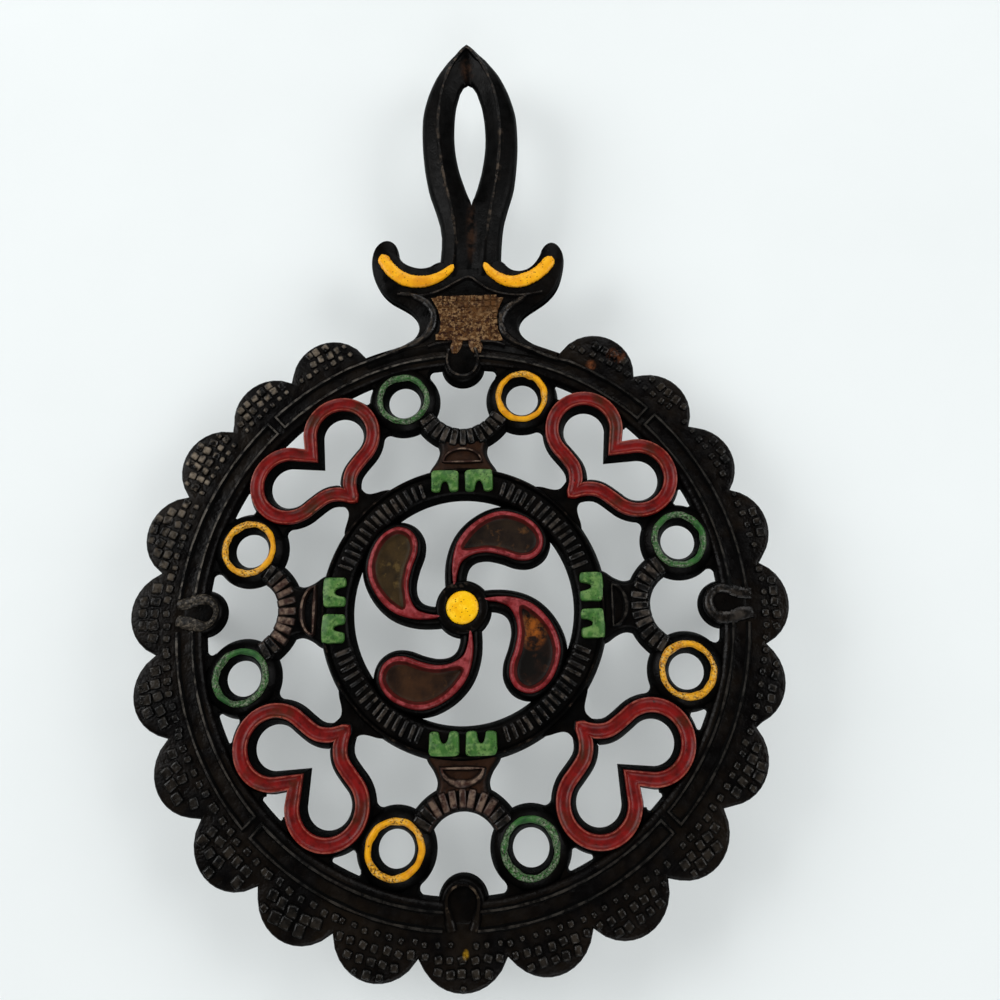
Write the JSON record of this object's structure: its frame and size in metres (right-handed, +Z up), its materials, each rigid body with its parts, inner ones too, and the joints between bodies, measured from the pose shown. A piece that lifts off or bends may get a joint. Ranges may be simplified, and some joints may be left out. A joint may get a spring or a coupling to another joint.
{
  "type": "trivet",
  "caption": "Round openwork cast-iron trivet with a scalloped edge, hearts and comma petals in worn paint, short feet and a flat handle with a hanging loop.",
  "frame": {"origin": "on the surface that the feet stand on, below the centre of the wheel", "axes": "+X to the right, +Y from the wheel's centre to the handle's tip, +Z up through the painted face"},
  "size_m": [0.1448, 0.2212, 0.0192],
  "materials": {
    "iron": "blackened sand casting, worn to brown and rust on raised edges",
    "worn_iron": "sand casting worn bare and brown",
    "red_paint": "worn gloss paint",
    "rose_paint": "worn gloss paint, rubbed pale",
    "yellow_paint": "worn gloss paint with specks",
    "green_paint": "worn gloss paint",
    "worn_green_paint": "gloss paint worn grey"
  },
  "bodies": {
    "root": {"scalloped_rim": "iron", "wheel_ring": "iron", "hub_boss": "iron", "hub_button": "yellow_paint", "green_blocks": "green_paint", "petal_rear_right": "iron", "petal_front_right": "iron", "petal_front_left": "iron", "petal_rear_left": "iron", "petal_paint_rear_right": "rose_paint", "petal_paint_front_right": "rose_paint", "petal_paint_front_left": "rose_paint", "petal_paint_rear_left": "rose_paint", "heart_rear_right": "iron", "heart_rear_left": "iron", "heart_front_left": "iron", "heart_front_right": "iron", "heart_paint_rear_right": "red_paint", "heart_paint_rear_left": "red_paint", "heart_paint_front_left": "red_paint", "heart_paint_front_right": "red_paint", "eyelet_right_upper": "iron", "eyelet_rear_right": "iron", "eyelet_rear_left": "iron", "eyelet_left_upper": "iron", "eyelet_left_lower": "iron", "eyelet_front_left": "iron", "eyelet_front_right": "iron", "eyelet_right_lower": "iron", "green_ring_paint": "worn_green_paint", "yellow_ring_paint": "yellow_paint", "arch_right": "iron", "arch_rear": "iron", "arch_left": "iron", "arch_front": "iron", "keystone_right": "iron", "keystone_rear": "iron", "keystone_left": "iron", "keystone_front": "iron", "lug_right": "iron", "lug_rear": "iron", "lug_left": "iron", "lug_front": "iron", "foot_right": "iron", "foot_rear": "iron", "foot_left": "iron", "foot_front": "iron", "neck": "iron", "neck_panel": "worn_iron", "collar": "iron", "collar_paint": "yellow_paint", "stem": "iron", "handle_loop": "iron"}
  },
  "joints": []
}
